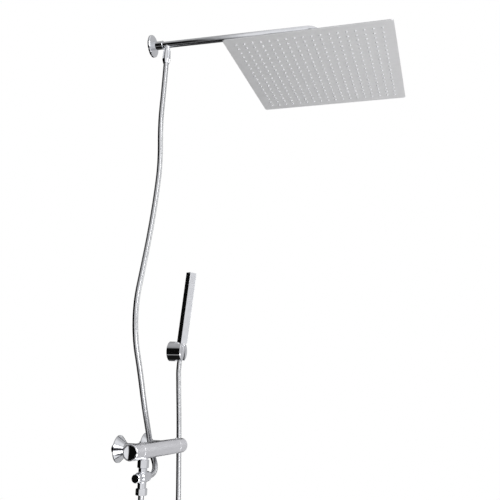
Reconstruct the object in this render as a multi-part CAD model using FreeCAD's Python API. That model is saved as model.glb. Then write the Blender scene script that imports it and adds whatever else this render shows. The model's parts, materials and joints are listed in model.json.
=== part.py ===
import FreeCAD, Part
import math
import os

# Rainfall shower column: wall mixer bar, two-way diverter, two hoses, wall arm with a square rain
# head, and a square hand shower in a wall holder.
# Millimetres. The wall is the plane Y = 0, the room is at -Y, X runs along the wall and Z is up.
# The origin is the centre of the hot inlet in the wall plane.

Vector = FreeCAD.Vector
UP = Vector(0, 0, 1)
DOWN = Vector(0, 0, -1)
RIGHT = Vector(1, 0, 0)
LEFT = Vector(-1, 0, 0)
TO_ROOM = Vector(0, -1, 0)

# ---- clearances
SEAT_GAP = 0.05          # radial, between a piece and the bore it is pushed or screwed into
RUN_GAP = 0.05           # radial, between a turning shaft and its bore
MOVE_GAP = 0.3           # between faces of pieces that move past each other
END_GAP = 0.6            # axial, between a turning handle and what stands still beside it
EDGE = 0.8               # bevel on turned metal pieces

# ---- threads, outside diameters
G12_D = 20.955
G38_D = 16.662
G34_D = 26.441

# ---- supply
INLET_SPACING = 150.0
INLET_THREAD_DEPTH = 15.0
UNION_THREAD_OUT = 8.0   # thread that stands out of the wall, for the rosette
RELIEF_W = 1.0           # groove from the wall plane to the rosette thread
RELIEF_D = 19.0
UNION_BORE_D = 13.0
UNION_BODY_D = 22.6
UNION_FLANGE_T = 2.8
UNION_NUT_D = 30.0
UNION_NUT_START = 17.5
NUT_LIP = 2.5
ROSETTE_D = 65.0
ROSETTE_RIM = 2.5
ROSETTE_DEPTH = 19.5
ROSETTE_WALL = 1.2
ROSETTE_WEB = 3.0
FILTER_T = 2.0
VALVE_LENGTH = 14.0

# ---- mixer bar
BAR_STANDOFF = 70.0
BAR_D = 38.0
BAR_OVERHANG = 80.0      # inlet axis to the end of the bar
HANDLE_LENGTH = 45.0
HANDLE_WALL = 3.0
HANDLE_CAVITY = 16.0
HUB_D = 16.0
SPINDLE_D = 8.0
SPINDLE_IN_HANDLE = 30.0
CAP_D = 33.0
CAP_T = 3.2
CAP_RIM = 0.8
CAP_DISH = 2.0           # depth of the dished face
BOSS_BORE_D = 17.2
FLOW_CHAMBER_D = 27.0
FLOW_CHAMBER_DEPTH = 50.0
FLOW_CARTRIDGE_LENGTH = 34.0
THERMO_CHAMBER_D = 29.0
THERMO_CHAMBER_DEPTH = 66.0
THERMO_CARTRIDGE_LENGTH = 50.0
CARTRIDGE_NUT_LENGTH = 12.0
CARTRIDGE_NECK_D = 16.0
MIXED_WATER_BORE_D = 18.0
BUTTON_D = 7.0
BUTTON_FROM_SEAM = 9.0
BUTTON_STAND = 1.5
SPRING_D = 6.4
SPRING_WIRE = 1.0
SCREW_D = 4.0
SCREW_HEAD_D = 7.0
SCREW_HEAD_T = 3.5
SCREW_GRIP = 12.0

# ---- diverter, under the bar
DIVERTER_X = -4.0
OUTLET_BORE_D = 13.0
TOP_NUT_AF = 24.0
TOP_NUT_HEIGHT = 19.0
TOP_NUT_BELOW_BAR = 1.5
OUTLET_LENGTH = 15.0
TAIL_D = 17.0
NECK_D = 20.5
BARREL_DROP = 60.6       # bar axis to the diverter's cross barrel
BARREL_D = 27.0
BARREL_LEFT = 17.0
BARREL_RIGHT = 14.0
DIVERTER_CHAMBER_D = 21.0
DIVERTER_CHAMBER_DEPTH = 24.0
SIDE_THREAD_LENGTH = 10.0
LOWER_THREAD_END = 96.0  # bar axis to the end of the lower thread
KNOB_D = 20.6
KNOB_LENGTH = 16.0
KNOB_BEVEL = 1.2
COLLAR_D = 25.0
COLLAR_T = 4.0
DIVERTER_SPINDLE_D = 7.0

# ---- hoses
HOSE_D = 14.0
WASHER_T = 2.0
SIDE_NUT_D = 24.0
SIDE_NUT_LENGTH = 13.5
SIDE_SLEEVE_D = 16.0
SIDE_SLEEVE_LENGTH = 7.0
LOWER_NUT_AF = 24.0
LOWER_NUT_START = 86.0
LOWER_NUT_END = 101.5
HOSE_BORE_D = 9.0

# ---- arm
ARM_X = 20.4
ARM_Z = 1087.5
ARM_D = 18.0
ARM_WALL = 1.5
ARM_REACH = 482.4        # wall to the arm's down-turned end
ARM_BEND_R = 40.0
ARM_DROP = 68.5          # arm axis to the end of its thread
ARM_START = 8.0
ARM_DROOP_DEG = 0.75
DROOP_PIVOT = 20.0
ARM_PLAY = 0.3
SOCKET_D = 23.0
SOCKET_LENGTH = 34.0
SOCKET_RING_D = 24.6
SOCKET_RING_T = 2.0
FLANGE_D = 61.0
FLANGE_T = 6.0
FLANGE_WALL = 1.5
ARM_GRUB = Vector(0, -26, 0)
STUD_BORE_D = 6.8        # tapped M8 for the wall stud
SPIGOT_Y = 47.0
SPIGOT_NECK_D = 15.6
SPIGOT_NECK_END = 19.5
SPIGOT_THREAD_END = 32.0
ARM_NUT_TOP = 18.7
ARM_NUT_END = 57.0
ARM_NUT_TOP_D = 19.6
ARM_NUT_WAIST_D = 22.4
ARM_NUT_WAIST = 46.0
ARM_NUT_END_D = 16.4

# ---- rain head
HEAD_SIDE = 400.0
HEAD_CORNER_R = 7.0
HEAD_EDGE_T = 2.4
HEAD_CENTRE_T = 9.0
HEAD_SHEET = 1.0
HEAD_DROP = 129.4        # arm axis at the wall to the underside of the head
HEAD_RIM = 6.0
NOZZLE_MARGIN = 27.0     # least distance from the head's side to a nozzle's centre
NOZZLE_PITCH = 20.35
NOZZLE_D = 6.0
NOZZLE_TIP_D = 3.8
NOZZLE_BORE_D = 1.4
NOZZLE_STAND = 2.4
MAT_T = 0.8
MAT_MARGIN = 20.0
BALL_D = 20.0
BALL_ABOVE = 32.0        # underside of the head to the ball's centre
SEAT_T = 0.9
SEAT_EDGE = 1.4          # from the ball's equator to each ring
SEAT_HEIGHT = 5.0
STEM_D = 10.0
STEM_BORE_D = 6.4
STEM_NUT_AF = 26.0
STEM_NUT_START = 18.0
STEM_NUT_LENGTH = 18.0
BOSS_D = 28.0
RETAINER_D = 34.0
RETAINER_TOP = 9.0
RETAINER_BOTTOM = 14.0
THROAT_D = 16.8

# ---- holder and hand shower
HOLDER_X = 279.0
HOLDER_Z = 256.2
HOLDER_D = 56.0
HOLDER_DEPTH = 42.0
HOLDER_WALL = 2.4
CUP_DEPTH = 15.0
FLAT_HEIGHT = 21.5
FLAT_START = 17.5
HOLE_D = 28.2
SLOT_W = 15.5
PLATE_T = 5.0
PLATE_SCREW_SPACING = 30.0
PLATE_SCREW_D = 4.6
GRUB_D = 4.0
GRUB_AT = 3.0
STICK_SIDE = 22.0
STICK_LENGTH = 207.0
STICK_WALL = 1.4
STICK_CORNER_R = 1.2
STICK_OUT = 35.5         # wall to the middle of the stick's lower end
STICK_ABOVE = 24.2       # holder axis to the stick's lower end
STICK_LEAN_DEG = 4.8
STICK_TURN_DEG = 34.0
FACE_W = 17.0
FACE_LENGTH = 92.0
FACE_FROM_TOP = 4.0
FACE_T = 1.6
FACE_COLUMNS = 3
FACE_ROWS = 16
FACE_PITCH = 5.4
FACE_NOZZLE_D = 1.8
FACE_NOZZLE_STAND = 0.6
FACE_MAT_T = 1.0
INLET_NECK_D = 16.0
INLET_NECK = 5.0
INLET_THREAD = 11.0
CONE_TOP = 7.0
CONE_LENGTH = 40.0
CONE_TOP_D = 24.0
CONE_END_D = 18.4
SLEEVE_D = 15.0
SLEEVE_OUT = 3.0

# ---- hose routes, from the lower end to the upper end
HOSE_1_POINTS = [
    (31.0, -70.0, -60.6),
    (49.0, -70.0, -60.6),
    (67.5, -68.5, -54.5),
    (81.0, -64.0, -41.5),
    (94.0, -52.0, -27.0),
    (101.0, -40.0, -8.0),
    (99.5, -35.5, 17.0),
    (78.0, -38.0, 48.0),
    (37.0, -42.5, 106.0),
    (-4.0, -43.5, 193.0),
    (-43.0, -44.0, 262.0),
    (-54.5, -44.0, 350.0),
    (-28.5, -44.0, 440.0),
    (-1.0, -44.0, 540.0),
    (21.0, -44.0, 650.0),
    (31.0, -44.5, 745.0),
    (12.5, -45.0, 850.0),
    (19.5, -45.5, 950.0),
    (20.4, -46.3, 1029.9),
]
HOSE_2_POINTS = [
    (-4.0, -70.0, -101.5),
    (-4.0, -70.0, -150.0),
    (-2.0, -70.5, -215.0),
    (4.0, -70.0, -285.0),
    (18.0, -69.0, -360.0),
    (52.0, -67.5, -434.0),
    (110.0, -65.0, -486.0),
    (178.0, -62.0, -484.0),
    (236.0, -59.0, -430.0),
    (269.0, -56.5, -350.0),
    (279.0, -54.5, -255.0),
    (280.5, -51.0, -150.0),
    (283.0, -44.0, -40.0),
    (283.0, -38.5, 60.0),
    (282.0, -33.0, 135.0),
    (281.5, -30.2, 178.0),
    (279.0, -29.2, 206.0),
    (279.0, -31.26, 230.4),
]


def turned(profile, base, axis):
    """A solid of revolution: profile is a closed outline of (radius, distance along axis) points."""
    axis = Vector(axis).normalize()
    side = axis.cross(UP)
    if side.Length < 0.5:
        side = axis.cross(RIGHT)
    side.normalize()
    points = [base + axis * t + side * r for r, t in profile]
    face = Part.Face(Part.makePolygon(points + points[:1]))
    return face.revolve(base, axis, 360)


def rod(diameter, base, axis, start, end):
    axis = Vector(axis).normalize()
    return Part.makeCylinder(diameter / 2, end - start, base + axis * start, axis)


def ring(outer, inner, base, axis, start, end):
    return turned([(inner / 2, start), (outer / 2, start), (outer / 2, end), (inner / 2, end)], base, axis)


def hex_bar(across_flats, base, start, end, bevel):
    """A hexagonal bar along Z with both ends turned down to a bevel."""
    radius = across_flats / math.sqrt(3)
    corners = []
    for i in range(7):
        angle = math.radians(60 * i)
        corners.append(base + Vector(radius * math.cos(angle), radius * math.sin(angle), start))
    bar = Part.Face(Part.makePolygon(corners)).extrude(Vector(0, 0, end - start))
    low = across_flats / 2
    envelope = [(0, start), (low, start), (radius + 0.01, start + bevel), (radius + 0.01, end - bevel),
                (low, end), (0, end)]
    return bar.common(turned(envelope, base, UP))


def rounded_square(side_x, side_y, radius, centre, z0, z1):
    box = Part.makeBox(side_x, side_y, z1 - z0, centre + Vector(-side_x / 2, -side_y / 2, z0))
    upright = [e for e in box.Edges if abs(e.tangentAt(e.FirstParameter).z) > 0.9]
    return box.makeFillet(radius, upright)


def save(name, shape):
    if not shape.isValid():
        print("NOT VALID", name)
    shape.exportStep("parts/" + name + ".step")


# ---------------------------------------------------------------- supply
def union_levels():
    """Distances from the wall: nut lip, union face, washer face, end of the nut."""
    lip_end = UNION_NUT_START + NUT_LIP
    face = lip_end + UNION_FLANGE_T
    return lip_end, face, face + FILTER_T, BAR_STANDOFF - BAR_D / 2 - TOP_NUT_BELOW_BAR / 3


def wall_union(base):
    lip_end, face, seat, nut_end = union_levels()
    flange_r = G34_D / 2 - 0.2
    return turned([
        (UNION_BORE_D / 2, -INLET_THREAD_DEPTH), (G12_D / 2 - 1, -INLET_THREAD_DEPTH),
        (G12_D / 2, 1 - INLET_THREAD_DEPTH), (G12_D / 2, 0), (RELIEF_D / 2, 0),
        (RELIEF_D / 2, RELIEF_W), (G12_D / 2, RELIEF_W),
        (G12_D / 2, UNION_THREAD_OUT),
        (UNION_BODY_D / 2, UNION_THREAD_OUT), (UNION_BODY_D / 2, lip_end), (flange_r, lip_end),
        (flange_r, face), (UNION_BORE_D / 2, face)], base, TO_ROOM)


def rosette(base):
    """A conical cover with a threaded web that screws onto the union."""
    rim_r = ROSETTE_D / 2
    tip_r = UNION_NUT_D / 2 + MOVE_GAP
    tip_out_r = tip_r + ROSETTE_WALL / 2
    slope = (rim_r - tip_out_r) / (ROSETTE_DEPTH - ROSETTE_RIM)
    offset = ROSETTE_WALL * math.hypot(1, slope)
    web_r = G12_D / 2 + SEAT_GAP
    web_end = UNION_THREAD_OUT - 1
    web_start = web_end - ROSETTE_WEB

    def inner(t):
        return rim_r - slope * (t - ROSETTE_RIM) - offset

    tip_t = ROSETTE_RIM + (rim_r - offset - tip_r) / slope
    return turned([
        (rim_r - ROSETTE_WALL, 0), (rim_r, 0), (rim_r, ROSETTE_RIM), (tip_out_r, ROSETTE_DEPTH),
        (tip_r, ROSETTE_DEPTH), (tip_r, tip_t), (inner(web_end), web_end), (web_r, web_end),
        (web_r, web_start), (inner(web_start), web_start), (inner(ROSETTE_RIM), ROSETTE_RIM)],
        base, TO_ROOM)


def union_nut(base):
    lip_end, face, seat, nut_end = union_levels()
    lip_r = UNION_BODY_D / 2 + SEAT_GAP
    bore_r = G34_D / 2 + SEAT_GAP
    outer_r = UNION_NUT_D / 2
    return turned([
        (lip_r, UNION_NUT_START), (outer_r - EDGE, UNION_NUT_START), (outer_r, UNION_NUT_START + EDGE),
        (outer_r, nut_end - EDGE), (outer_r - EDGE, nut_end), (bore_r, nut_end), (bore_r, lip_end),
        (lip_r, lip_end)], base, TO_ROOM)


def filter_washer(base):
    lip_end, face, seat, nut_end = union_levels()
    washer = ring(G34_D - 0.4, UNION_BORE_D, base, TO_ROOM, face, seat)
    screen = rod(UNION_BORE_D + 0.4, base, TO_ROOM, face + 0.8, face + 1.2)
    return washer.fuse(screen)


def check_valve(base):
    lip_end, face, seat, nut_end = union_levels()
    start = seat + 1
    body = ring(BOSS_BORE_D - 2 * SEAT_GAP, 10, base, TO_ROOM, start, start + VALVE_LENGTH)
    poppet = rod(10.4, base, TO_ROOM, start + VALVE_LENGTH - 4, start + VALVE_LENGTH - 2)
    return body.fuse(poppet)


def build_supply():
    nuts = []
    washers = []
    valves = []
    for name, x in (("hot", 0.0), ("cold", INLET_SPACING)):
        base = Vector(x, 0, 0)
        save(name + "_union", wall_union(base))
        save(name + "_rosette", rosette(base))
        nuts.append(union_nut(base))
        washers.append(filter_washer(base))
        valves.append(check_valve(base))
    save("union_nuts", Part.makeCompound(nuts))
    save("inlet_filter_washers", Part.makeCompound(washers))
    save("inlet_check_valves", Part.makeCompound(valves))


# ---------------------------------------------------------------- mixer bar
BAR = Vector(0, -BAR_STANDOFF, 0)
BODY_LEFT = -BAR_OVERHANG + HANDLE_LENGTH + END_GAP
BODY_RIGHT = INLET_SPACING + BAR_OVERHANG - HANDLE_LENGTH - END_GAP
OUTLET_TOP = BAR + Vector(DIVERTER_X, 0, 0)


def mixer_body():
    lip_end, face, seat, nut_end = union_levels()
    r = BAR_D / 2
    shell = turned([(0, BODY_LEFT), (r - 0.3, BODY_LEFT), (r, BODY_LEFT + 0.3), (r, BODY_RIGHT - 0.3),
                    (r - 0.3, BODY_RIGHT), (0, BODY_RIGHT)], BAR, RIGHT)
    for x in (0.0, INLET_SPACING):
        shell = shell.fuse(rod(G34_D, Vector(x, 0, 0), TO_ROOM, seat, BAR_STANDOFF - r / 2))
    outlet_end = r + OUTLET_LENGTH
    shell = shell.fuse(rod(G12_D, OUTLET_TOP, DOWN, r / 2, outlet_end))
    cuts = [
        rod(FLOW_CHAMBER_D, BAR, RIGHT, BODY_LEFT, BODY_LEFT + FLOW_CHAMBER_DEPTH),
        rod(THERMO_CHAMBER_D, BAR, RIGHT, BODY_RIGHT - THERMO_CHAMBER_DEPTH, BODY_RIGHT),
        rod(MIXED_WATER_BORE_D, BAR, RIGHT, BODY_LEFT, BODY_RIGHT),
        rod(OUTLET_BORE_D, OUTLET_TOP, DOWN, 0, outlet_end),
    ]
    for x in (0.0, INLET_SPACING):
        cuts.append(rod(BOSS_BORE_D, Vector(x, 0, 0), TO_ROOM, seat, BAR_STANDOFF))
    for cut in cuts:
        shell = shell.cut(cut)
    return shell


def cartridge(chamber_d, length, seam_x, inward, port_x):
    """A cartridge with a neck for its nut and a bore for its spindle. inward points into the bar."""
    base = BAR + Vector(seam_x, 0, 0)
    body_r = chamber_d / 2 - SEAT_GAP
    neck_end = 2.0 + CARTRIDGE_NUT_LENGTH
    bore_r = SPINDLE_D / 2 + RUN_GAP
    bore_end = neck_end + 12.0
    shape = turned([
        (bore_r, 0.5), (CARTRIDGE_NECK_D / 2, 0.5), (CARTRIDGE_NECK_D / 2, neck_end), (body_r, neck_end),
        (body_r, neck_end + length), (0, neck_end + length), (0, bore_end), (bore_r, bore_end)],
        base, inward)
    port = BAR + Vector(port_x, 0, 0)
    return shape.cut(rod(12.0, port, Vector(0, 1, 0), 5.5, chamber_d))


def cartridge_nut(chamber_d, seam_x, inward):
    base = BAR + Vector(seam_x, 0, 0)
    return ring(chamber_d - 2 * SEAT_GAP, CARTRIDGE_NECK_D + 2 * SEAT_GAP, base, inward, 2.0,
                2.0 + CARTRIDGE_NUT_LENGTH)


def spindle(seam_x, inward):
    """The turning shaft: from inside the handle's hub to inside the cartridge."""
    base = BAR + Vector(seam_x, 0, 0)
    tip = 2.0 + CARTRIDGE_NUT_LENGTH + 11.0
    end = -(END_GAP + SPINDLE_IN_HANDLE)
    shaft = rod(SPINDLE_D, base, inward, end, tip)
    return shaft.cut(rod(SCREW_D, base, inward, end, end + SCREW_GRIP))


def bar_handle(end_x, outward, with_button):
    base = BAR + Vector(end_x, 0, 0) - outward * HANDLE_LENGTH
    r = BAR_D / 2
    body = turned([(0, 0), (r - 0.3, 0), (r, 0.3), (r, HANDLE_LENGTH - 1.0),
                   (r - 1.0, HANDLE_LENGTH), (0, HANDLE_LENGTH)], base, outward)
    body = body.cut(ring(BAR_D - 2 * HANDLE_WALL, HUB_D, base, outward, 0, HANDLE_CAVITY))
    hub_start = 3.0
    body = body.cut(rod(HUB_D, base, outward, 0, hub_start))
    body = body.cut(rod(SPINDLE_D + 2 * SEAT_GAP, base, outward, 0, SPINDLE_IN_HANDLE))
    body = body.cut(rod(SCREW_D + 0.4, base, outward, 0, HANDLE_LENGTH))
    body = body.cut(rod(SCREW_HEAD_D + 0.4, base, outward, SPINDLE_IN_HANDLE + 3.0, HANDLE_LENGTH))
    body = body.cut(rod(CAP_D + 2 * SEAT_GAP, base, outward, HANDLE_LENGTH - CAP_T, HANDLE_LENGTH))
    if with_button:
        mouth = base + outward * BUTTON_FROM_SEAM
        body = body.cut(rod(BUTTON_D + 2 * MOVE_GAP, mouth, UP, r - HANDLE_WALL - 1, r + 1))
    return body


def handle_screw(end_x, outward):
    base = BAR + Vector(end_x, 0, 0) - outward * HANDLE_LENGTH
    head = SPINDLE_IN_HANDLE + 3.0
    shank_end = SPINDLE_IN_HANDLE - SCREW_GRIP + 1.0
    return turned([(0, shank_end), (SCREW_D / 2 - SEAT_GAP, shank_end), (SCREW_D / 2 - SEAT_GAP, head),
                   (SCREW_HEAD_D / 2, head), (SCREW_HEAD_D / 2, head + SCREW_HEAD_T),
                   (0, head + SCREW_HEAD_T)], base, outward)


def handle_cap(end_x, outward):
    """A disc with a shallow spherical dish in its face."""
    base = BAR + Vector(end_x, 0, 0) - outward * HANDLE_LENGTH
    start = HANDLE_LENGTH - CAP_T
    cap = turned([(0, start), (CAP_D / 2, start), (CAP_D / 2, HANDLE_LENGTH - 0.3),
                  (CAP_D / 2 - 0.3, HANDLE_LENGTH), (0, HANDLE_LENGTH)], base, outward)
    dish_r = CAP_D / 2 - CAP_RIM
    sphere_r = (dish_r ** 2 + CAP_DISH ** 2) / (2 * CAP_DISH)
    centre = base + outward * (HANDLE_LENGTH - CAP_DISH + sphere_r)
    return cap.cut(Part.makeSphere(sphere_r, centre))


def button_base(end_x, outward):
    return BAR + Vector(end_x, 0, 0) - outward * (HANDLE_LENGTH - BUTTON_FROM_SEAM)


def button_foot():
    """Height above the bar's axis of the underside of the button's retaining flange."""
    flange_r = BUTTON_D / 2 + 0.9
    inner = BAR_D / 2 - HANDLE_WALL
    return math.sqrt(inner ** 2 - flange_r ** 2) - MOVE_GAP - 1.2


def stop_button(base):
    foot = button_foot()
    flange_r = BUTTON_D / 2 + 0.9
    top = BAR_D / 2 + BUTTON_STAND
    return turned([(0, foot), (flange_r, foot), (flange_r, foot + 1.2), (BUTTON_D / 2, foot + 1.2),
                   (BUTTON_D / 2, top - 0.6), (BUTTON_D / 2 - 0.6, top), (0, top)], base, UP)


def button_spring(base):
    foot = button_foot()
    return ring(SPRING_D, SPRING_D - 2 * SPRING_WIRE, base, UP, HUB_D / 2 + 0.1, foot)


def build_mixer():
    save("mixer_body", mixer_body())
    left_end = -BAR_OVERHANG
    right_end = INLET_SPACING + BAR_OVERHANG
    save("flow_cartridge", cartridge(FLOW_CHAMBER_D, FLOW_CARTRIDGE_LENGTH, BODY_LEFT, RIGHT, 0.0))
    save("flow_cartridge_nut", cartridge_nut(FLOW_CHAMBER_D, BODY_LEFT, RIGHT))
    save("thermostatic_cartridge",
         cartridge(THERMO_CHAMBER_D, THERMO_CARTRIDGE_LENGTH, BODY_RIGHT, LEFT, INLET_SPACING))
    save("thermostatic_cartridge_nut", cartridge_nut(THERMO_CHAMBER_D, BODY_RIGHT, LEFT))
    for name, seam, end, outward, inward, with_button in (
            ("flow", BODY_LEFT, left_end, LEFT, RIGHT, False),
            ("temperature", BODY_RIGHT, right_end, RIGHT, LEFT, True)):
        save(name + "_spindle", spindle(seam, inward))
        save(name + "_handle", bar_handle(end, outward, with_button))
        save(name + "_handle_screw", handle_screw(end, outward))
        save(name + "_handle_cap", handle_cap(end, outward))
    base = button_base(right_end, RIGHT)
    save("stop_button", stop_button(base))
    save("stop_button_spring", button_spring(base))


# ---------------------------------------------------------------- diverter
def diverter_levels():
    """Distances below the bar's axis: end of the outlet, washer, tail flange, lip, end of the nut."""
    nut_top = BAR_D / 2 + TOP_NUT_BELOW_BAR
    outlet_end = BAR_D / 2 + OUTLET_LENGTH
    flange_top = outlet_end + WASHER_T
    flange_end = flange_top + 1.5
    return nut_top, outlet_end, flange_top, flange_end, nut_top + TOP_NUT_HEIGHT


def diverter_top_nut():
    nut_top, outlet_end, flange_top, flange_end, nut_end = diverter_levels()
    nut = hex_bar(TOP_NUT_AF, OUTLET_TOP, -nut_end, -nut_top, 1.2)
    nut = nut.cut(rod(G12_D + 2 * SEAT_GAP, OUTLET_TOP, DOWN, nut_top, flange_end))
    return nut.cut(rod(TAIL_D + 2 * SEAT_GAP, OUTLET_TOP, DOWN, nut_top, nut_end))


def diverter_body():
    nut_top, outlet_end, flange_top, flange_end, nut_end = diverter_levels()
    axis_point = OUTLET_TOP + Vector(0, 0, -BARREL_DROP)
    column = turned([
        (0, flange_top), (G12_D / 2 - 0.2, flange_top), (G12_D / 2 - 0.2, flange_end),
        (TAIL_D / 2, flange_end), (TAIL_D / 2, nut_end + 0.5), (NECK_D / 2 - EDGE, nut_end + 0.5),
        (NECK_D / 2, nut_end + 0.5 + EDGE), (NECK_D / 2, LOWER_NUT_START - 1),
        (G12_D / 2, LOWER_NUT_START - 1), (G12_D / 2, LOWER_THREAD_END), (0, LOWER_THREAD_END)],
        OUTLET_TOP, DOWN)
    r = BARREL_D / 2
    barrel = turned([
        (0, -BARREL_LEFT), (r - EDGE, -BARREL_LEFT), (r, EDGE - BARREL_LEFT), (r, BARREL_RIGHT - 1.5),
        (r - 1.5, BARREL_RIGHT), (0, BARREL_RIGHT)], axis_point, RIGHT)
    thread = rod(G12_D, axis_point, RIGHT, 0, BARREL_RIGHT + SIDE_THREAD_LENGTH)
    body = column.fuse(barrel).fuse(thread)
    body = body.cut(rod(OUTLET_BORE_D, OUTLET_TOP, DOWN, flange_top, LOWER_THREAD_END))
    body = body.cut(rod(OUTLET_BORE_D, axis_point, RIGHT, 0, BARREL_RIGHT + SIDE_THREAD_LENGTH))
    chamber_end = DIVERTER_CHAMBER_DEPTH - BARREL_LEFT
    return body.cut(rod(DIVERTER_CHAMBER_D, axis_point, RIGHT, -BARREL_LEFT, chamber_end))


def diverter_cartridge(axis_point):
    bore_r = DIVERTER_SPINDLE_D / 2 + RUN_GAP
    neck_r = bore_r + 1.6
    body_r = DIVERTER_CHAMBER_D / 2 - SEAT_GAP
    start = -BARREL_LEFT - COLLAR_T
    end = DIVERTER_CHAMBER_DEPTH - BARREL_LEFT - 1.0
    shape = turned([
        (bore_r, start), (neck_r, start), (neck_r, 1.0 - BARREL_LEFT), (body_r, 1.0 - BARREL_LEFT),
        (body_r, end), (0, end), (0, -5.0), (bore_r, -5.0)], axis_point, RIGHT)
    return shape.cut(rod(8.0, axis_point, DOWN, 5.0, 12.0))


def build_diverter():
    nut_top, outlet_end, flange_top, flange_end, nut_end = diverter_levels()
    axis_point = OUTLET_TOP + Vector(0, 0, -BARREL_DROP)
    save("diverter_top_nut", diverter_top_nut())
    save("diverter_top_washer", ring(G12_D - 0.6, OUTLET_BORE_D, OUTLET_TOP, DOWN, outlet_end, flange_top))
    save("diverter_body", diverter_body())
    save("diverter_cartridge", diverter_cartridge(axis_point))
    neck_r = DIVERTER_SPINDLE_D / 2 + RUN_GAP + 1.6
    collar_start = -BARREL_LEFT - COLLAR_T
    save("diverter_collar", turned([
        (neck_r + SEAT_GAP, collar_start), (COLLAR_D / 2 - EDGE, collar_start),
        (COLLAR_D / 2, collar_start + EDGE), (COLLAR_D / 2, -BARREL_LEFT),
        (neck_r + SEAT_GAP, -BARREL_LEFT)], axis_point, RIGHT))
    knob_end = collar_start - 1.0
    knob_start = knob_end - KNOB_LENGTH
    spindle_start = knob_start + 4.0
    save("diverter_spindle", rod(DIVERTER_SPINDLE_D, axis_point, RIGHT, spindle_start, -6.0))
    r = KNOB_D / 2
    knob = turned([(0, knob_start), (r - KNOB_BEVEL, knob_start), (r, knob_start + KNOB_BEVEL),
                   (r, knob_end - EDGE), (r - EDGE, knob_end), (0, knob_end)], axis_point, RIGHT)
    knob = knob.cut(rod(DIVERTER_SPINDLE_D + 2 * SEAT_GAP, axis_point, RIGHT, spindle_start, knob_end))
    mark = Part.makeBox(KNOB_LENGTH * 0.6, 1.2, 1.2, axis_point + Vector(knob_start, -0.6, r - 0.8))
    save("diverter_knob", knob.cut(mark))


# ---------------------------------------------------------------- hoses
def hose_path(points):
    """Straight runs joined by tangent arcs, each as large as its two runs allow."""
    pts = [Vector(*p) for p in points]
    edges = []
    last = pts[0]
    for i in range(1, len(pts) - 1):
        back = pts[i - 1] - pts[i]
        ahead = pts[i + 1] - pts[i]
        half_turn = (math.pi - back.getAngle(ahead)) / 2
        cut = 0.45 * min(back.Length, ahead.Length)
        radius = cut / math.tan(half_turn)
        back.normalize()
        ahead.normalize()
        start = pts[i] + back * cut
        end = pts[i] + ahead * cut
        to_centre = (back + ahead).normalize()
        centre_distance = math.hypot(cut, radius)
        middle = pts[i] + to_centre * (centre_distance - radius)
        edges.append(Part.LineSegment(last, start).toShape())
        edges.append(Part.Arc(start, middle, end).toShape())
        last = end
    edges.append(Part.LineSegment(last, pts[-1]).toShape())
    return Part.Wire(edges)


def hose(name, points):
    first = Vector(*points[0])
    direction = Vector(*points[1]) - first
    section = Part.Wire(Part.makeCircle(HOSE_D / 2, first, direction))
    save(name, hose_path(points).makePipeShell([section], True, True))


def build_hose_ends():
    axis_point = OUTLET_TOP + Vector(0, 0, -BARREL_DROP)
    thread_end = BARREL_RIGHT + SIDE_THREAD_LENGTH
    nut_start = BARREL_RIGHT + 0.5
    nut_end = nut_start + SIDE_NUT_LENGTH
    r = SIDE_NUT_D / 2
    save("hose_1_lower_nut", turned([
        (G12_D / 2 + SEAT_GAP, nut_start), (r - EDGE, nut_start), (r, nut_start + EDGE),
        (r, nut_end - 2 * EDGE), (r - 2 * EDGE, nut_end), (HOSE_BORE_D / 2, nut_end),
        (HOSE_BORE_D / 2, thread_end + WASHER_T), (G12_D / 2 + SEAT_GAP, thread_end + WASHER_T)],
        axis_point, RIGHT))
    lower_washer = ring(G12_D - 0.6, HOSE_BORE_D, axis_point, RIGHT, thread_end, thread_end + WASHER_T)
    save("hose_1_lower_sleeve", ring(SIDE_SLEEVE_D, HOSE_BORE_D, axis_point, RIGHT, nut_end,
                                     nut_end + SIDE_SLEEVE_LENGTH))
    nut = hex_bar(LOWER_NUT_AF, OUTLET_TOP, -LOWER_NUT_END, -LOWER_NUT_START, 1.2)
    nut = nut.cut(rod(G12_D + 2 * SEAT_GAP, OUTLET_TOP, DOWN, LOWER_NUT_START, LOWER_THREAD_END + WASHER_T))
    save("hose_2_hex_nut", nut.cut(rod(HOSE_BORE_D, OUTLET_TOP, DOWN, LOWER_NUT_START, LOWER_NUT_END)))
    bottom_washer = ring(G12_D - 0.6, HOSE_BORE_D, OUTLET_TOP, DOWN, LOWER_THREAD_END,
                         LOWER_THREAD_END + WASHER_T)
    top_washer = droop(ring(G38_D - 0.4, HOSE_BORE_D, SPIGOT, DOWN, SPIGOT_THREAD_END,
                            SPIGOT_THREAD_END + WASHER_T))
    save("hose_washers", Part.makeCompound([lower_washer, bottom_washer, top_washer]))


# ---------------------------------------------------------------- arm
ARM = Vector(ARM_X, 0, ARM_Z)
SPIGOT = ARM + Vector(0, -SPIGOT_Y, 0)


def droop(shape):
    """The arm hangs a little in the play of its socket."""
    shape.rotate(ARM + Vector(0, -DROOP_PIVOT, 0), RIGHT, ARM_DROOP_DEG)
    return shape


def arm_line():
    bend = Vector(0, -(ARM_REACH - ARM_BEND_R), 0)
    s = ARM_BEND_R * math.sqrt(0.5)
    start = ARM + Vector(0, -ARM_START, 0)
    before = ARM + bend
    middle = before + Vector(0, -s, -(ARM_BEND_R - s))
    after = ARM + Vector(0, -ARM_REACH, -ARM_BEND_R)
    end = ARM + Vector(0, -ARM_REACH, -ARM_DROP)
    lines = [Part.LineSegment(start, before), Part.Arc(before, middle, after), Part.LineSegment(after, end)]
    return Part.Wire([line.toShape() for line in lines])


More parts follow.
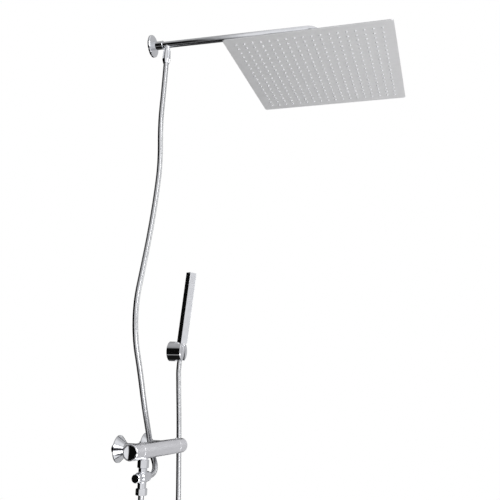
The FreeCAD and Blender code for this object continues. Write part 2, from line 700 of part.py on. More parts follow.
def arm_tube():
    path = arm_line()
    start = ARM + Vector(0, -ARM_START, 0)
    solids = []
    for diameter in (ARM_D, ARM_D - 2 * ARM_WALL):
        section = Part.Wire(Part.makeCircle(diameter / 2, start, TO_ROOM))
        solids.append(path.makePipeShell([section], True, True))
    tube = solids[0].cut(solids[1])
    plug = rod(ARM_D - 2 * ARM_WALL + 0.2, ARM, TO_ROOM, ARM_START, ARM_START + 3)
    tube = tube.fuse(plug)
    return tube.cut(rod(HOSE_BORE_D, SPIGOT, DOWN, 0, ARM_D))


def arm_spigot():
    neck_r = SPIGOT_NECK_D / 2
    shape = turned([
        (HOSE_BORE_D / 2, 0), (neck_r, 0), (neck_r, SPIGOT_NECK_END), (G38_D / 2, SPIGOT_NECK_END),
        (G38_D / 2, SPIGOT_THREAD_END), (HOSE_BORE_D / 2, SPIGOT_THREAD_END)], SPIGOT, DOWN)
    return shape.cut(rod(ARM_D, ARM, TO_ROOM, SPIGOT_Y - 20, SPIGOT_Y + 20))


def arm_socket():
    bore_r = ARM_D / 2 + ARM_PLAY
    r = SOCKET_D / 2
    ring_r = SOCKET_RING_D / 2
    ring_start = SOCKET_LENGTH - SOCKET_RING_T
    return turned([
        (STUD_BORE_D / 2, 0), (r, 0), (r, ring_start), (ring_r, ring_start + 0.4),
        (ring_r, SOCKET_LENGTH - 0.4), (ring_r - 0.4, SOCKET_LENGTH), (bore_r, SOCKET_LENGTH),
        (bore_r, ARM_START - 1), (STUD_BORE_D / 2, ARM_START - 1)], ARM, TO_ROOM)


def arm_flange():
    r = FLANGE_D / 2
    hole_r = SOCKET_D / 2 + SEAT_GAP
    return turned([
        (r - FLANGE_WALL, 0), (r, 0), (r, FLANGE_T - 1.5), (r - 1.5, FLANGE_T), (hole_r, FLANGE_T),
        (hole_r, FLANGE_T - FLANGE_WALL), (r - FLANGE_WALL - 0.5, FLANGE_T - FLANGE_WALL),
        (r - FLANGE_WALL, FLANGE_T - FLANGE_WALL - 0.5)], ARM, TO_ROOM)


def arm_hose_nut():
    bore_r = G38_D / 2 + SEAT_GAP
    seat = SPIGOT_THREAD_END + WASHER_T
    return turned([
        (bore_r, ARM_NUT_TOP + 0.8), (ARM_NUT_TOP_D / 2, ARM_NUT_TOP + 0.8),
        (ARM_NUT_WAIST_D / 2, ARM_NUT_WAIST), (ARM_NUT_END_D / 2, ARM_NUT_END),
        (HOSE_BORE_D / 2, ARM_NUT_END), (HOSE_BORE_D / 2, seat), (bore_r, seat)], SPIGOT, DOWN)


def build_arm():
    save("arm_socket", arm_socket().cut(rod(GRUB_D, ARM + ARM_GRUB, DOWN, ARM_D / 2, SOCKET_D)))
    save("arm_flange", arm_flange())
    save("arm_tube", droop(arm_tube()))
    save("arm_spigot", droop(arm_spigot()))
    save("hose_1_upper_nut", droop(arm_hose_nut()))


# ---------------------------------------------------------------- rain head
def head_centre():
    """The point of the arm's drooped outlet axis at the ball's height, dropped to the underside."""
    end = Part.Vertex(ARM + Vector(0, -ARM_REACH, -ARM_DROP))
    end.rotate(ARM + Vector(0, -DROOP_PIVOT, 0), RIGHT, ARM_DROOP_DEG)
    ball_z = ARM_Z - HEAD_DROP + BALL_ABOVE
    lean = math.radians(ARM_DROOP_DEG)
    y = end.Point.y + math.sin(lean) * (end.Point.z - ball_z)
    return Vector(ARM_X, y, ARM_Z - HEAD_DROP)


HEAD = head_centre()
BALL = HEAD + Vector(0, 0, BALL_ABOVE)
STEM_AXIS = Vector(0, -math.sin(math.radians(ARM_DROOP_DEG)), math.cos(math.radians(ARM_DROOP_DEG)))


def nozzle_places():
    """A square grid, as many to a row as the head's side has room for."""
    per_row = int((HEAD_SIDE - 2 * NOZZLE_MARGIN) / NOZZLE_PITCH) + 1
    first = -NOZZLE_PITCH * (per_row - 1) / 2
    return [HEAD + Vector(first + NOZZLE_PITCH * i, first + NOZZLE_PITCH * j, 0)
            for i in range(per_row) for j in range(per_row)]


def head_spray_plate():
    plate = rounded_square(HEAD_SIDE, HEAD_SIDE, HEAD_CORNER_R, HEAD, 0, HEAD_SHEET)
    holes = [rod(NOZZLE_D + 2 * SEAT_GAP, p, UP, -0.1, HEAD_SHEET + 0.1) for p in nozzle_places()]
    return plate.cut(Part.makeCompound(holes))


def head_nozzle_mat():
    side = HEAD_SIDE - 2 * MAT_MARGIN
    mat = Part.makeBox(side, side, MAT_T, HEAD + Vector(-side / 2, -side / 2, HEAD_SHEET))
    places = nozzle_places()
    nipples = []
    for p in places:
        nipples.append(turned([
            (0, -NOZZLE_STAND), (NOZZLE_TIP_D / 2, -NOZZLE_STAND), (NOZZLE_D / 2, 0),
            (NOZZLE_D / 2, HEAD_SHEET + MAT_T / 2), (0, HEAD_SHEET + MAT_T / 2)], p, UP))
    mat = mat.fuse(nipples)
    bores = [rod(NOZZLE_BORE_D, p, UP, -NOZZLE_STAND, HEAD_SHEET + MAT_T) for p in places]
    return mat.cut(Part.makeCompound(bores))


def head_cover():
    """A thin lid: a flat welded rim, four low slopes up to the middle, and the ball joint's boss."""
    rim_z = HEAD_EDGE_T
    lid = rounded_square(HEAD_SIDE, HEAD_SIDE, HEAD_CORNER_R, HEAD, HEAD_SHEET, rim_z)
    outer_side = HEAD_SIDE / 2 - HEAD_RIM
    top_side = BOSS_D
    outer = pyramid(outer_side, top_side, rim_z, HEAD_CENTRE_T)
    lid = lid.fuse(outer)
    inner = pyramid(outer_side - 2, top_side - 2, rim_z - HEAD_SHEET, HEAD_CENTRE_T - HEAD_SHEET)
    hollow_side = 2 * (outer_side - 2)
    floor = Part.makeBox(hollow_side, hollow_side, rim_z - 2 * HEAD_SHEET + 0.01,
                         HEAD + Vector(-hollow_side / 2, -hollow_side / 2, HEAD_SHEET))
    lid = lid.cut(inner).cut(floor)
    boss_top = BALL_ABOVE - SEAT_EDGE * 2
    boss = rod(BOSS_D, HEAD, UP, HEAD_CENTRE_T - 1.5, boss_top)
    lid = lid.fuse(boss)
    lid = lid.cut(rod(HOSE_BORE_D + 3, HEAD, UP, 0, boss_top))
    cup = Part.makeSphere(BALL_D / 2 + SEAT_T + 3 * RUN_GAP, BALL)
    return lid.cut(cup)


def pyramid(half_low, half_high, z_low, z_high):
    rings = []
    for half, z in ((half_low, z_low), (half_high, z_high)):
        corners = [HEAD + Vector(a * half, b * half, z) for a, b in ((-1, -1), (1, -1), (1, 1), (-1, 1))]
        rings.append(Part.makePolygon(corners + corners[:1]))
    return Part.makeLoft(rings, True, True)


def ball_stem():
    ball = Part.makeSphere(BALL_D / 2, BALL)
    nut_end = STEM_NUT_START + STEM_NUT_LENGTH
    stem = rod(STEM_D, BALL, STEM_AXIS, 0, STEM_NUT_START + 1)
    nut = hex_bar(STEM_NUT_AF, BALL, STEM_NUT_START, nut_end, 1.2)
    nut.rotate(BALL, RIGHT, ARM_DROOP_DEG)
    shape = ball.fuse(stem).fuse(nut)
    shape = shape.cut(rod(STEM_BORE_D, BALL, STEM_AXIS, -BALL_D, nut_end))
    thread_stop = arm_end_height() - WASHER_T
    return shape.cut(rod(ARM_D + 2 * SEAT_GAP, BALL, STEM_AXIS, thread_stop, nut_end + 1))


def arm_end_height():
    """Distance from the ball's centre up the stem to the end of the arm."""
    end = Part.Vertex(ARM + Vector(0, -ARM_REACH, -ARM_DROP))
    end.rotate(ARM + Vector(0, -DROOP_PIVOT, 0), RIGHT, ARM_DROOP_DEG)
    return (end.Point - BALL).dot(STEM_AXIS)


def seat_ring(low, high):
    """A zone of a thin spherical shell around the ball."""
    outer = BALL_D / 2 + SEAT_T + RUN_GAP
    shell = Part.makeSphere(outer, BALL).cut(Part.makeSphere(BALL_D / 2 + RUN_GAP, BALL))
    return shell.common(rod(2 * outer + 2, BALL, UP, low, high))


def ball_retainer():
    r = RETAINER_D / 2
    boss_top = -2 * SEAT_EDGE
    body = turned([
        (THROAT_D / 2, boss_top), (BOSS_D / 2 + SEAT_GAP, boss_top), (BOSS_D / 2 + SEAT_GAP, -RETAINER_BOTTOM),
        (r - EDGE, -RETAINER_BOTTOM), (r, EDGE - RETAINER_BOTTOM), (r, RETAINER_TOP - 2), (r - 2, RETAINER_TOP),
        (THROAT_D / 2, RETAINER_TOP)], BALL, UP)
    return body.cut(Part.makeSphere(BALL_D / 2 + SEAT_T + 3 * RUN_GAP, BALL))


def build_head():
    save("rain_head_spray_plate", head_spray_plate())
    save("rain_head_nozzle_mat", head_nozzle_mat())
    save("rain_head_cover", head_cover())
    save("ball_stem", ball_stem())
    save("ball_stem_washer", ring(ARM_D - 0.4, STEM_BORE_D, BALL, STEM_AXIS, arm_end_height() - WASHER_T,
                                  arm_end_height()))
    save("ball_seat_ring", seat_ring(SEAT_EDGE, SEAT_EDGE + SEAT_HEIGHT))
    save("ball_seal_ring", seat_ring(-SEAT_EDGE - SEAT_HEIGHT, -SEAT_EDGE))
    save("ball_retainer", ball_retainer())


# ---------------------------------------------------------------- holder and hand shower
HOLDER = Vector(HOLDER_X, 0, HOLDER_Z)
STICK = Vector(HOLDER_X, -STICK_OUT, HOLDER_Z + STICK_ABOVE)
LEAN = math.radians(STICK_LEAN_DEG)
STICK_AXIS = Vector(0, -math.sin(LEAN), math.cos(LEAN))


def leaned(shape, turn_deg=0.0):
    """Takes a shape made upright about the origin to the stick's place."""
    shape.rotate(Vector(0, 0, 0), UP, -turn_deg)
    shape.rotate(Vector(0, 0, 0), RIGHT, STICK_LEAN_DEG)
    shape.translate(STICK)
    return shape


def hose_slot(width, front):
    """The slot from the hole's axis out through the front of the holder."""
    box = Part.makeBox(width, front, HOLDER_D * 1.5, Vector(-width / 2, -front, -HOLDER_D * 1.2))
    return leaned(box)


def holder_body():
    r = HOLDER_D / 2
    body = turned([
        (0, 0), (r, 0), (r, HOLDER_DEPTH - 1.5), (r - 1.5, HOLDER_DEPTH), (0, HOLDER_DEPTH)],
        HOLDER, TO_ROOM)
    body = body.cut(rod(HOLDER_D - 2 * HOLDER_WALL, HOLDER, TO_ROOM, 0, CUP_DEPTH))
    flat = Part.makeBox(HOLDER_D, HOLDER_DEPTH, HOLDER_D,
                        HOLDER + Vector(-r, -HOLDER_DEPTH - FLAT_START, FLAT_HEIGHT))
    body = body.cut(flat)
    body = body.cut(leaned(rod(HOLE_D, Vector(0, 0, 0), UP, -HOLDER_D * 1.2, HOLDER_D * 0.3)))
    body = body.cut(hose_slot(SLOT_W, HOLDER_DEPTH))
    grub = HOLDER + Vector(0, -GRUB_AT, 0)
    return body.cut(rod(GRUB_D, grub, DOWN, r - HOLDER_WALL - 1, r + 1))


def cone_radius(z, gap):
    """Outer radius of the cone nut at local height z, plus a gap."""
    share = (-CONE_TOP - z) / CONE_LENGTH
    return (CONE_TOP_D + (CONE_END_D - CONE_TOP_D) * share) / 2 + gap


def holder_liner():
    """The plastic cone that the hose's cone nut drops into, open to the front."""
    r = HOLE_D / 2 - SEAT_GAP
    low = -STICK_ABOVE - HOLDER_D / 2 + 5.0
    high = FLAT_HEIGHT - STICK_ABOVE - 3.5
    liner = turned([(cone_radius(low, MOVE_GAP), low), (r, low), (r, high), (cone_radius(high, MOVE_GAP), high)],
                   Vector(0, 0, 0), UP)
    liner = leaned(liner).cut(hose_slot(SLOT_W, HOLDER_DEPTH))
    front = Part.makeBox(HOLDER_D, HOLDER_D, 3 * HOLDER_D,
                         HOLDER + Vector(-HOLDER_D / 2, -HOLDER_DEPTH - HOLDER_D + 0.5, -1.5 * HOLDER_D))
    return liner.cut(front)


def holder_plate():
    d = HOLDER_D - 2 * HOLDER_WALL - 2 * MOVE_GAP
    plate = rod(d, HOLDER, TO_ROOM, 0, PLATE_T)
    for side in (-1, 1):
        hole = HOLDER + Vector(side * PLATE_SCREW_SPACING / 2, 0, 0)
        plate = plate.cut(rod(PLATE_SCREW_D, hole, TO_ROOM, 0, PLATE_T))
    grub = HOLDER + Vector(0, -GRUB_AT, 0)
    return plate.cut(rod(GRUB_D, grub, DOWN, d / 2 - 2.0, d / 2 + 1))


def grub_screws():
    """One locks the arm in its socket, the other locks the holder on its wall plate."""
    plate_r = HOLDER_D / 2 - HOLDER_WALL - MOVE_GAP
    under_arm = rod(GRUB_D - 2 * SEAT_GAP, ARM + ARM_GRUB, DOWN, ARM_D / 2 + ARM_PLAY + 0.05,
                    SOCKET_D / 2 - 0.2)
    under_holder = rod(GRUB_D - 2 * SEAT_GAP, HOLDER + Vector(0, -GRUB_AT, 0), DOWN, plate_r - 1.9,
                       HOLDER_D / 2 - 0.4)
    return Part.makeCompound([under_arm, under_holder])


def stick_window(extra):
    """The opening in the front of the stick where its spray face sits."""
    top = STICK_LENGTH - FACE_FROM_TOP
    w = FACE_W + extra
    return Part.makeBox(w, STICK_WALL + 2, FACE_LENGTH + extra,
                        Vector(-w / 2, -STICK_SIDE / 2 - 1, top - FACE_LENGTH - extra / 2))


def stick_shell():
    origin = Vector(0, 0, 0)
    body = rounded_square(STICK_SIDE, STICK_SIDE, STICK_CORNER_R, origin, 0, STICK_LENGTH)
    inner = STICK_SIDE - 2 * STICK_WALL
    body = body.cut(Part.makeBox(inner, inner, STICK_LENGTH - 2 * STICK_WALL,
                                 Vector(-inner / 2, -inner / 2, STICK_WALL)))
    body = body.cut(stick_window(0.2))
    return body.cut(rod(INLET_NECK_D + 2 * SEAT_GAP, origin, UP, -1, STICK_WALL + 1))


def face_places():
    top = STICK_LENGTH - FACE_FROM_TOP
    first_z = top - FACE_LENGTH / 2 - FACE_PITCH * (FACE_ROWS - 1) / 2
    first_x = -FACE_PITCH * (FACE_COLUMNS - 1) / 2
    return [Vector(first_x + FACE_PITCH * i, -STICK_SIDE / 2, first_z + FACE_PITCH * j)
            for i in range(FACE_COLUMNS) for j in range(FACE_ROWS)]


def spray_face():
    top = STICK_LENGTH - FACE_FROM_TOP
    plate = Part.makeBox(FACE_W, FACE_T, FACE_LENGTH, Vector(-FACE_W / 2, -STICK_SIDE / 2, top - FACE_LENGTH))
    holes = [rod(FACE_NOZZLE_D + 0.1, p, TO_ROOM, -FACE_T - 0.1, 0.1) for p in face_places()]
    return plate.cut(Part.makeCompound(holes))


def face_mat():
    top = STICK_LENGTH - FACE_FROM_TOP
    w = FACE_W - 1
    mat = Part.makeBox(w, FACE_MAT_T, FACE_LENGTH - 2,
                       Vector(-w / 2, -STICK_SIDE / 2 + FACE_T, top - FACE_LENGTH + 1))
    nipples = [rod(FACE_NOZZLE_D, p, TO_ROOM, -FACE_T - FACE_MAT_T / 2, FACE_NOZZLE_STAND)
               for p in face_places()]
    return mat.fuse(nipples)


def stick_inlet():
    neck_r = INLET_NECK_D / 2
    bore_r = UNION_BORE_D / 2 - 1
    thread_end = -INLET_NECK - INLET_THREAD
    return turned([
        (bore_r, 12), (neck_r, 12), (neck_r, -INLET_NECK), (G12_D / 2, -INLET_NECK),
        (G12_D / 2, thread_end), (bore_r, thread_end)], Vector(0, 0, 0), UP)


def cone_nut():
    top = -CONE_TOP
    end = top - CONE_LENGTH
    thread_end = -INLET_NECK - INLET_THREAD - WASHER_T
    thread_r = G12_D / 2 + SEAT_GAP
    sleeve_r = SLEEVE_D / 2 + RUN_GAP
    return turned([
        (thread_r, top), (CONE_TOP_D / 2 - 0.5, top), (CONE_TOP_D / 2, top - 0.5),
        (cone_radius(end + 0.5, 0), end + 0.5), (cone_radius(end, 0) - 0.5, end), (sleeve_r, end),
        (sleeve_r, thread_end - 2.0), (HOSE_BORE_D / 2, thread_end - 2.0), (HOSE_BORE_D / 2, thread_end),
        (thread_r, thread_end)], Vector(0, 0, 0), UP)


def cone_sleeve():
    top = -INLET_NECK - INLET_THREAD - WASHER_T - 2.0 - MOVE_GAP
    end = -CONE_TOP - CONE_LENGTH - SLEEVE_OUT
    return ring(SLEEVE_D, HOSE_BORE_D, Vector(0, 0, 0), UP, end, top)


def build_holder():
    save("holder_wall_plate", holder_plate())
    save("holder_body", holder_body())
    save("holder_liner", holder_liner())
    save("grub_screws", grub_screws())


def build_hand_shower():
    save("hand_shower_shell", leaned(stick_shell(), STICK_TURN_DEG))
    save("hand_shower_spray_face", leaned(spray_face(), STICK_TURN_DEG))
    save("hand_shower_nozzle_mat", leaned(face_mat(), STICK_TURN_DEG))
    save("hand_shower_inlet", leaned(stick_inlet(), STICK_TURN_DEG))
    thread_end = -INLET_NECK - INLET_THREAD
    save("hand_shower_washer", leaned(ring(G12_D - 0.6, HOSE_BORE_D, Vector(0, 0, 0), UP,
                                           thread_end - WASHER_T, thread_end)))
    save("hose_2_cone_nut", leaned(cone_nut()))
    save("hose_2_sleeve", leaned(cone_sleeve()))


os.makedirs("parts", exist_ok=True)
build_supply()
build_mixer()
build_diverter()
build_arm()
build_hose_ends()
hose("hose_1", HOSE_1_POINTS)
hose("hose_2", HOSE_2_POINTS)
build_head()
build_holder()
build_hand_shower()
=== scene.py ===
import json
import math

import bmesh
import bpy
from mathutils import Matrix, Vector


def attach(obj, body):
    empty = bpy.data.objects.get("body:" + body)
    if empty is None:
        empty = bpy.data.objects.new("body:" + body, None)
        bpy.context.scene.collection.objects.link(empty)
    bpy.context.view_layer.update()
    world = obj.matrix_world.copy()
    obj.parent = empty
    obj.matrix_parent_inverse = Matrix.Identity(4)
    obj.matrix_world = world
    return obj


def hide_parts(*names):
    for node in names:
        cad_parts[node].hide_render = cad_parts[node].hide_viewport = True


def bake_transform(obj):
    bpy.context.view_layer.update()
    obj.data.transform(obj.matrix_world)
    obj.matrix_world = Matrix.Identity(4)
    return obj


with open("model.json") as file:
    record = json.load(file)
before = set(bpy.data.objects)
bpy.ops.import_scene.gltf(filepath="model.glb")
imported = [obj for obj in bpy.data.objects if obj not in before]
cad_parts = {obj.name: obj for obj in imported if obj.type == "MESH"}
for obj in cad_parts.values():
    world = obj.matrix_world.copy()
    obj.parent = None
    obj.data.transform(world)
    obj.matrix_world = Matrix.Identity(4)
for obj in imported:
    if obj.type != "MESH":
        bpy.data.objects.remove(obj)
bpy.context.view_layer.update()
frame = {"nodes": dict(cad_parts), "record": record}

MM = 0.001
WALL_SET = "wall_set"
X_AXIS = Vector((1, 0, 0))


# ---------------------------------------------------------------- camera
CAMERA_PLACE = (-1.5361, -0.7818, 0.1358)
CAMERA_RIGHT = (0.28262, -0.95855, 0.03610)
CAMERA_FORWARD = (0.93470, 0.28366, 0.21420)
LENS = 48.13
SENSOR = 36.0


def make_camera():
    data = bpy.data.cameras.new("camera")
    data.sensor_width = SENSOR
    data.lens = LENS
    data.clip_start = 0.05
    data.clip_end = 60.0
    camera = bpy.data.objects.new("camera", data)
    bpy.context.scene.collection.objects.link(camera)
    right = Vector(CAMERA_RIGHT).normalized()
    forward = Vector(CAMERA_FORWARD).normalized()
    up = right.cross(forward).normalized()
    forward = up.cross(right)
    turn = Matrix((right, up, -forward)).transposed().to_4x4()
    camera.matrix_world = Matrix.Translation(CAMERA_PLACE) @ turn
    bpy.context.scene.camera = camera


make_camera()


# ---------------------------------------------------------------- hoses
HOSE_R = 7.0 * MM
RIB_PITCH = 2.5 * MM
RIB_DEPTH = 0.22 * MM
HOSE_STEPS = 20
RIB_OUTLINE = ((0.0, 1.0), (0.22, 0.1), (0.5, 0.0), (0.78, 0.1))   # along one rib, and how deep

RISER_ROUTE = [
    (0.0310, -0.0700, -0.0606),
    (0.0490, -0.0700, -0.0606),
    (0.0675, -0.0685, -0.0545),
    (0.0810, -0.0640, -0.0415),
    (0.0940, -0.0520, -0.0270),
    (0.1010, -0.0400, -0.0080),
    (0.0995, -0.0355, 0.0170),
    (0.0780, -0.0380, 0.0480),
    (0.0370, -0.0425, 0.1060),
    (-0.0040, -0.0435, 0.1930),
    (-0.0430, -0.0440, 0.2620),
    (-0.0545, -0.0440, 0.3500),
    (-0.0285, -0.0440, 0.4400),
    (-0.0010, -0.0440, 0.5400),
    (0.0210, -0.0440, 0.6500),
    (0.0310, -0.0445, 0.7450),
    (0.0125, -0.0450, 0.8500),
    (0.0195, -0.0455, 0.9500),
    (0.0204, -0.0463, 1.0299),
]
HAND_HOSE_ROUTE = [
    (-0.0040, -0.0700, -0.1015),
    (-0.0040, -0.0700, -0.1500),
    (-0.0020, -0.0705, -0.2150),
    (0.0040, -0.0700, -0.2850),
    (0.0180, -0.0690, -0.3600),
    (0.0520, -0.0675, -0.4340),
    (0.1100, -0.0650, -0.4860),
    (0.1780, -0.0620, -0.4840),
    (0.2360, -0.0590, -0.4300),
    (0.2690, -0.0565, -0.3500),
    (0.2790, -0.0545, -0.2550),
    (0.2805, -0.0510, -0.1500),
    (0.2830, -0.0440, -0.0400),
    (0.2830, -0.0385, 0.0600),
    (0.2820, -0.0330, 0.1350),
    (0.2815, -0.0302, 0.1780),
    (0.2790, -0.0292, 0.2060),
    (0.2790, -0.03126, 0.2304),
]


def route_curve(name, points):
    """One smooth line with the route's points as its control points."""
    data = bpy.data.curves.new(name, "CURVE")
    data.dimensions = "3D"
    data.resolution_u = 24
    line = data.splines.new("NURBS")
    line.points.add(len(points) - 1)
    for point, place in zip(line.points, points):
        point.co = (*place, 1.0)
    line.order_u = 3
    line.use_endpoint_u = True
    curve = bpy.data.objects.new(name, data)
    bpy.context.scene.collection.objects.link(curve)
    return curve


def line_points(curve):
    """The points that the smooth line passes through, from its first end to its last."""
    graph = bpy.context.evaluated_depsgraph_get()
    mesh = bpy.data.meshes.new_from_object(curve.evaluated_get(graph))
    points = [v.co.copy() for v in mesh.vertices]
    bpy.data.meshes.remove(mesh)
    return points


def ribbed_tube(name, curve, path):
    """A straight ribbed tube, spun and then bent along the line."""
    length = sum((b - a).length for a, b in zip(path, path[1:]))
    ribs = round(length / RIB_PITCH)
    pitch = length / ribs
    bm = bmesh.new()
    outline = []
    for i in range(ribs):
        for share, depth in RIB_OUTLINE:
            outline.append(((i + share) * pitch, HOSE_R - depth * RIB_DEPTH))
    outline.append((length, HOSE_R - RIB_DEPTH))
    corners = [bm.verts.new((x, 0, r)) for x, r in outline]
    edges = [bm.edges.new(pair) for pair in zip(corners, corners[1:])]
    bmesh.ops.spin(bm, geom=corners + edges, cent=(0, 0, 0), axis=X_AXIS, angle=2 * math.pi,
                   steps=HOSE_STEPS, use_merge=True)
    bmesh.ops.holes_fill(bm, edges=[e for e in bm.edges if e.is_boundary])
    bmesh.ops.recalc_face_normals(bm, faces=bm.faces)
    mesh = bpy.data.meshes.new(name)
    bm.to_mesh(mesh)
    bm.free()
    tube = bpy.data.objects.new(name, mesh)
    bpy.context.scene.collection.objects.link(tube)
    bend = tube.modifiers.new("bend", "CURVE")
    bend.object = curve
    bend.deform_axis = "POS_X"
    bpy.context.view_layer.update()
    graph = bpy.context.evaluated_depsgraph_get()
    bent = bpy.data.meshes.new_from_object(tube.evaluated_get(graph))
    tube.modifiers.clear()
    tube.data = bent
    bent.name = name
    bent.shade_smooth()
    return tube, length


def make_hoses():
    riser_line = route_curve("riser_line", RISER_ROUTE)
    hand_line = route_curve("hand_line", HAND_HOSE_ROUTE)
    riser_path = line_points(riser_line)
    hand_path = line_points(hand_line)
    riser, riser_length = ribbed_tube("riser_hose", riser_line, riser_path)
    hand, hand_length = ribbed_tube("hand_shower_hose", hand_line, hand_path)
    for line in (riser_line, hand_line):
        bpy.data.objects.remove(line)
    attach(riser, WALL_SET)
    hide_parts("hose_1")
    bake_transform(hand)
    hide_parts("hose_2")
    return [riser, hand]


hoses = make_hoses()


# ---------------------------------------------------------------- materials
BUMP_DISTANCE = 0.2 * MM


def node_material(name, colour, roughness, metallic=0.0):
    """A material with its shader's colour, roughness and metalness set, returned with its nodes and links."""
    material = bpy.data.materials.new(name)
    material.use_nodes = True
    nodes = material.node_tree.nodes
    shader = nodes["Principled BSDF"]
    shader.inputs["Base Color"].default_value = (*colour, 1)
    shader.inputs["Roughness"].default_value = roughness
    shader.inputs["Metallic"].default_value = metallic
    return material, nodes, material.node_tree.links, shader


def object_noise(nodes, links, scale, detail=3.0, stretch=(1, 1, 1)):
    place = nodes.new("ShaderNodeTexCoord")
    mapping = nodes.new("ShaderNodeMapping")
    mapping.inputs["Scale"].default_value = stretch
    noise = nodes.new("ShaderNodeTexNoise")
    noise.inputs["Scale"].default_value = scale
    noise.inputs["Detail"].default_value = detail
    links.new(place.outputs["Object"], mapping.inputs["Vector"])
    links.new(mapping.outputs["Vector"], noise.inputs["Vector"])
    return noise


def spread(nodes, links, value, low, high):
    """The value, 0 to 1, taken to the range from low to high."""
    span = nodes.new("ShaderNodeMapRange")
    span.inputs["To Min"].default_value = low
    span.inputs["To Max"].default_value = high
    links.new(value, span.inputs["Value"])
    return span.outputs["Result"]


def tint(nodes, links, value, dark, light, target):
    ramp = nodes.new("ShaderNodeValToRGB")
    ramp.color_ramp.elements[0].position = 0.3
    ramp.color_ramp.elements[1].position = 0.7
    ramp.color_ramp.elements[0].color = (*dark, 1)
    ramp.color_ramp.elements[1].color = (*light, 1)
    links.new(value, ramp.inputs["Fac"])
    links.new(ramp.outputs["Color"], target)


def relief(nodes, links, value, shader, strength, distance):
    bump = nodes.new("ShaderNodeBump")
    bump.inputs["Strength"].default_value = strength
    bump.inputs["Distance"].default_value = distance
    links.new(value, bump.inputs["Height"])
    links.new(bump.outputs["Normal"], shader.inputs["Normal"])


def metal(name, dark, light, rough_low, rough_high, scale, stretch=(1, 1, 1), bump=0.0, metallic=1.0):
    material, nodes, links, shader = node_material(name, light, rough_low, metallic)
    noise = object_noise(nodes, links, scale, 4.0, stretch)
    tint(nodes, links, noise.outputs["Fac"], dark, light, shader.inputs["Base Color"])
    links.new(spread(nodes, links, noise.outputs["Fac"], rough_low, rough_high), shader.inputs["Roughness"])
    if bump:
        relief(nodes, links, noise.outputs["Fac"], shader, bump, BUMP_DISTANCE)
    return material


def soft(name, dark, light, rough_low, rough_high, scale, bump=0.15):
    material, nodes, links, shader = node_material(name, light, rough_low)
    noise = object_noise(nodes, links, scale, 5.0)
    tint(nodes, links, noise.outputs["Fac"], dark, light, shader.inputs["Base Color"])
    links.new(spread(nodes, links, noise.outputs["Fac"], rough_low, rough_high), shader.inputs["Roughness"])
    relief(nodes, links, noise.outputs["Fac"], shader, bump, BUMP_DISTANCE)
    return material


CHROME = metal("polished_chrome", (0.70, 0.71, 0.73), (0.78, 0.79, 0.81), 0.03, 0.08, 60)
SATIN = metal("satin_chrome_bar", (0.78, 0.78, 0.805), (0.86, 0.86, 0.885), 0.24, 0.34, 90, (0.15, 1,
              1), 0.05)
SPRAY_STEEL = metal("spray_plate_steel", (0.86, 0.86, 0.86), (0.89, 0.89, 0.89), 0.50, 0.54, 120, (1, 0.3, 1),
                    0.02, metallic=0.5)
COVER_STEEL = metal("head_cover_steel", (0.48, 0.485, 0.49), (0.55, 0.555, 0.56), 0.32, 0.42, 80, (1,
                    0.1, 1), 0.05)
HOSE_METAL = metal("hose_metal", (0.46, 0.465, 0.475), (0.58, 0.585, 0.595), 0.10, 0.22, 200)
BRASS = metal("bare_brass", (0.60, 0.42, 0.17), (0.72, 0.53, 0.25), 0.22, 0.38, 150, (1, 1, 1), 0.1)
SCREW_STEEL = metal("stainless_screw", (0.50, 0.51, 0.52), (0.60, 0.61, 0.62), 0.20, 0.35, 260, (1, 1, 1),
                    0.1)
SILICONE = soft("nozzle_silicone", (0.72, 0.73, 0.74), (0.84, 0.85, 0.86), 0.35, 0.55, 700)
FACE_SILICONE = soft("hand_shower_silicone", (0.46, 0.46, 0.47), (0.56, 0.56, 0.57), 0.40, 0.55, 700)
BLACK_MOULDING = soft("black_moulding", (0.018, 0.018, 0.02), (0.032, 0.032, 0.035), 0.38, 0.60, 900)
WHITE_ACETAL = soft("white_acetal", (0.74, 0.74, 0.72), (0.84, 0.84, 0.82), 0.30, 0.45, 500)
SEAL_RUBBER = soft("seal_rubber", (0.02, 0.02, 0.021), (0.035, 0.035, 0.036), 0.55, 0.80, 900)

SLOT_FINISH = {
    "polished_chrome": CHROME,
    "satin_steel": COVER_STEEL,
    "ribbed_chrome": HOSE_METAL,
    "silicone": SILICONE,
    "brass_core": BRASS,
    "black_plastic": BLACK_MOULDING,
    "white_plastic": WHITE_ACETAL,
    "rubber_seal": SEAL_RUBBER,
    "steel_fastener": SCREW_STEEL,
}
NODE_FINISH = {
    "mixer_body": SATIN,
    "flow_handle": SATIN,
    "temperature_handle": SATIN,
    "rain_head_spray_plate": SPRAY_STEEL,
    "hand_shower_nozzle_mat": FACE_SILICONE,
}


def finish_nodes():
    """Every piece that comes over from the frame gets the finish of its slot or its own."""
    slots = {s["node"]: s["material_slot"] for s in frame["record"]["subparts"]}
    for name, piece in frame["nodes"].items():
        piece.data.materials.clear()
        piece.data.materials.append(NODE_FINISH.get(name, SLOT_FINISH[slots[name]]))


finish_nodes()
for hose_piece in hoses:
    hose_piece.data.materials.append(HOSE_METAL)


# ---------------------------------------------------------------- studio
def make_floor():
    bm = bmesh.new()
    bmesh.ops.create_circle(bm, cap_ends=True, segments=96, radius=FLOOR_R)
    bmesh.ops.translate(bm, verts=bm.verts, vec=FLOOR_PLACE)
    mesh = bpy.data.meshes.new("floor")
    bm.to_mesh(mesh)
    bm.free()
    floor = bpy.data.objects.new("floor", mesh)
    bpy.context.scene.collection.objects.link(floor)
    material, nodes, links, shader = node_material("pale_floor", (0.86, 0.86, 0.86), 0.7)
    mesh.materials.append(material)
    floor.visible_glossy = False


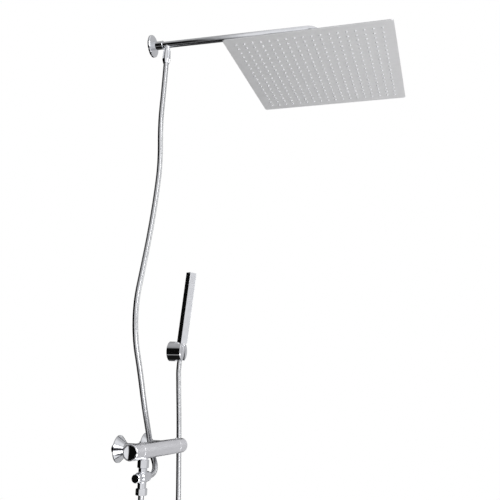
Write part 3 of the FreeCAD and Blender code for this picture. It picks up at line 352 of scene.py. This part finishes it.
def world_band(nodes, links, value, stops):
    """Grey levels along one direction component, from -1 to 1."""
    span = spread(nodes, links, value, 0.0, 1.0)
    span.node.inputs["From Min"].default_value = -1.0
    ramp = nodes.new("ShaderNodeValToRGB")
    while len(ramp.color_ramp.elements) < len(stops):
        ramp.color_ramp.elements.new(0.5)
    for element, (position, grey) in zip(ramp.color_ramp.elements, stops):
        element.position = (position + 1) / 2
        element.color = (grey, grey, grey * 1.01, 1)
    links.new(span, ramp.inputs["Fac"])
    return ramp.outputs["Color"]


ROOM_BY_Y = [(-1.0, 0.90), (-0.55, 0.95), (-0.05, 1.0), (1.0, 1.0)]
ROOM_BY_X = [(-1.0, 0.98), (-0.45, 0.78), (-0.12, 1.05), (0.05, 0.95), (0.35, 0.55), (1.0, 0.62)]
WALL_BY_Z = [(-1.0, 0.01), (-0.72, 0.01), (-0.66, 0.5), (-0.58, 0.004), (0.45, 0.004),
             (0.62, 0.36), (1.0, 0.5)]
WALL_START = 0.20        # where the dark side begins, along the way to the wall
WALL_FULL = 0.27
WALL_SKEW = 0.08         # how much further forward it begins behind the viewer
MIX_A = 6                # the colour sockets of a Mix node
MIX_B = 7
MIX_COLOUR = 2
FLOOR_R = 1.6
FLOOR_PLACE = (0.08, -0.2, -1.0)


def make_world():
    """White to look at; in the metal, a pale room, and a dark wall side with a strip below and a grey top."""
    world = bpy.data.worlds.new("studio")
    bpy.context.scene.world = world
    world.use_nodes = True
    nodes = world.node_tree.nodes
    links = world.node_tree.links
    room = nodes["Background"]
    direction = nodes.new("ShaderNodeTexCoord")
    split = nodes.new("ShaderNodeSeparateXYZ")
    links.new(direction.outputs["Generated"], split.inputs["Vector"])
    by_y = world_band(nodes, links, split.outputs["Y"], ROOM_BY_Y)
    by_x = world_band(nodes, links, split.outputs["X"], ROOM_BY_X)
    wall = world_band(nodes, links, split.outputs["Z"], WALL_BY_Z)
    pale = nodes.new("ShaderNodeMix")
    pale.data_type = "RGBA"
    pale.blend_type = "MULTIPLY"
    pale.inputs["Factor"].default_value = 1.0
    links.new(by_y, pale.inputs[MIX_A])
    links.new(by_x, pale.inputs[MIX_B])
    near_wall = nodes.new("ShaderNodeMapRange")
    near_wall.inputs["From Min"].default_value = WALL_START
    near_wall.inputs["From Max"].default_value = WALL_FULL
    skewed = nodes.new("ShaderNodeMath")
    skewed.operation = "MULTIPLY_ADD"
    skewed.inputs[1].default_value = WALL_SKEW
    links.new(split.outputs["X"], skewed.inputs[0])
    links.new(split.outputs["Y"], skewed.inputs[2])
    links.new(skewed.outputs["Value"], near_wall.inputs["Value"])
    joined = nodes.new("ShaderNodeMix")
    joined.data_type = "RGBA"
    links.new(near_wall.outputs["Result"], joined.inputs["Factor"])
    links.new(pale.outputs[MIX_COLOUR], joined.inputs[MIX_A])
    links.new(wall, joined.inputs[MIX_B])
    links.new(joined.outputs[MIX_COLOUR], room.inputs["Color"])
    white = nodes.new("ShaderNodeBackground")
    white.inputs["Color"].default_value = (1, 1, 1, 1)
    rays = nodes.new("ShaderNodeLightPath")
    mix = nodes.new("ShaderNodeMixShader")
    links.new(rays.outputs["Is Camera Ray"], mix.inputs["Fac"])
    links.new(room.outputs["Background"], mix.inputs[1])
    links.new(white.outputs["Background"], mix.inputs[2])
    links.new(mix.outputs["Shader"], nodes["World Output"].inputs["Surface"])


def softbox(name, place, target, width, height, power):
    data = bpy.data.lights.new(name, "AREA")
    data.shape = "RECTANGLE"
    data.size = width
    data.size_y = height
    data.energy = power
    box = bpy.data.objects.new(name, data)
    bpy.context.scene.collection.objects.link(box)
    box.location = place
    box.rotation_mode = "QUATERNION"
    box.rotation_quaternion = (Vector(target) - Vector(place)).to_track_quat("-Z", "Y")
    box.visible_camera = False


softbox("key_softbox", (-1.4, -2.4, 1.5), (0.1, -0.1, 0.5), 0.7, 1.8, 18)
softbox("right_softbox", (1.6, -2.0, 0.9), (0.1, -0.1, 0.5), 0.8, 1.6, 10)
softbox("low_softbox", (-0.6, -1.6, -0.7), (0.1, -0.2, 0.6), 1.0, 0.6, 10)


make_floor()
make_world()
bpy.context.scene.view_settings.view_transform = "Standard"
